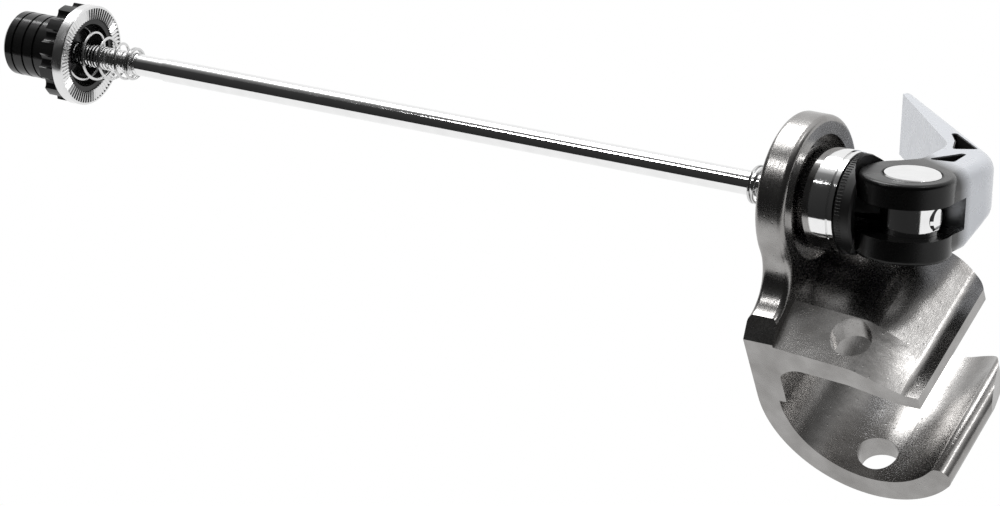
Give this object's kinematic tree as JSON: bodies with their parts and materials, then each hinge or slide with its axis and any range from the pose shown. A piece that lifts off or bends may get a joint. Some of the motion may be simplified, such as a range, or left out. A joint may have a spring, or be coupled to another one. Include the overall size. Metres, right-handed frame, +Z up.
{
  "type": "cam lever skewer hitch",
  "caption": "Quick-release trailer axle: a cam lever and a ribbed thumb nut clamp a long skewer, with a cast clevis bracket held under the lever.",
  "frame": {"origin": "on the skewer's axis, in the plane of the bracket's face that lies against the bicycle frame", "axes": "+X along the skewer towards the cam lever, +Z up from the clevis to the eye, +Y the way the closed lever points"},
  "size_m": [0.2304, 0.081, 0.0684],
  "materials": {
    "cast_steel": "investment cast stainless steel, tumbled to a soft shine",
    "bright_steel": "turned and polished steel",
    "lever_metal": "forged aluminium with a dark satin anodised skin",
    "black_metal": "matt black oxide",
    "nut_black": "gloss black anodised aluminium",
    "ring_steel": "plated steel with cut teeth",
    "spring_wire": "drawn stainless spring wire",
    "nylon": "natural nylon"
  },
  "bodies": {
    "skewer": {"skewer_rod": "bright_steel", "pivot_barrel": "bright_steel"},
    "lever": {"cam_lever": "lever_metal"},
    "clamp": {"cam_washer": "black_metal", "hitch_collar": "bright_steel", "lever_spring": "spring_wire"},
    "hitch": {"hitch_bracket": "cast_steel"},
    "nut_face": {"serrated_ring": "ring_steel", "nut_spring": "spring_wire"},
    "nut": {"thumb_nut": "nut_black", "lock_insert": "nylon"}
  },
  "joints": [
    {"name": "lever_swing", "type": "hinge", "parent": "skewer", "child": "lever", "pos_m": [0.0257, 0, 0], "axis": [0, 0.4848, 0.8746], "range_deg": [-160.5, 0]},
    {"name": "clamp_slide", "type": "slide", "parent": "skewer", "child": "clamp", "axis": [1, 0, 0], "range_m": [0, 0.00107]},
    {"name": "hitch_swivel", "type": "hinge", "parent": "clamp", "child": "hitch", "pos_m": [0, 0, 0], "axis": [1, 0, 0], "range_deg": [-30, 0]},
    {"name": "nut_travel", "type": "slide", "parent": "skewer", "child": "nut_face", "axis": [1, 0, 0], "range_m": [0, 0.01]},
    {"name": "nut_spin", "type": "hinge", "parent": "nut_face", "child": "nut", "pos_m": [-0.18, 0, 0], "axis": [1, 0, 0], "range_deg": [0, 4500]}
  ],
  "couplings": [
    {"joint": "lever_swing", "follows": "clamp_slide", "rad_per_m": -2618},
    {"joint": "nut_travel", "follows": "nut_spin", "m_per_rad": 0.00012732}
  ]
}
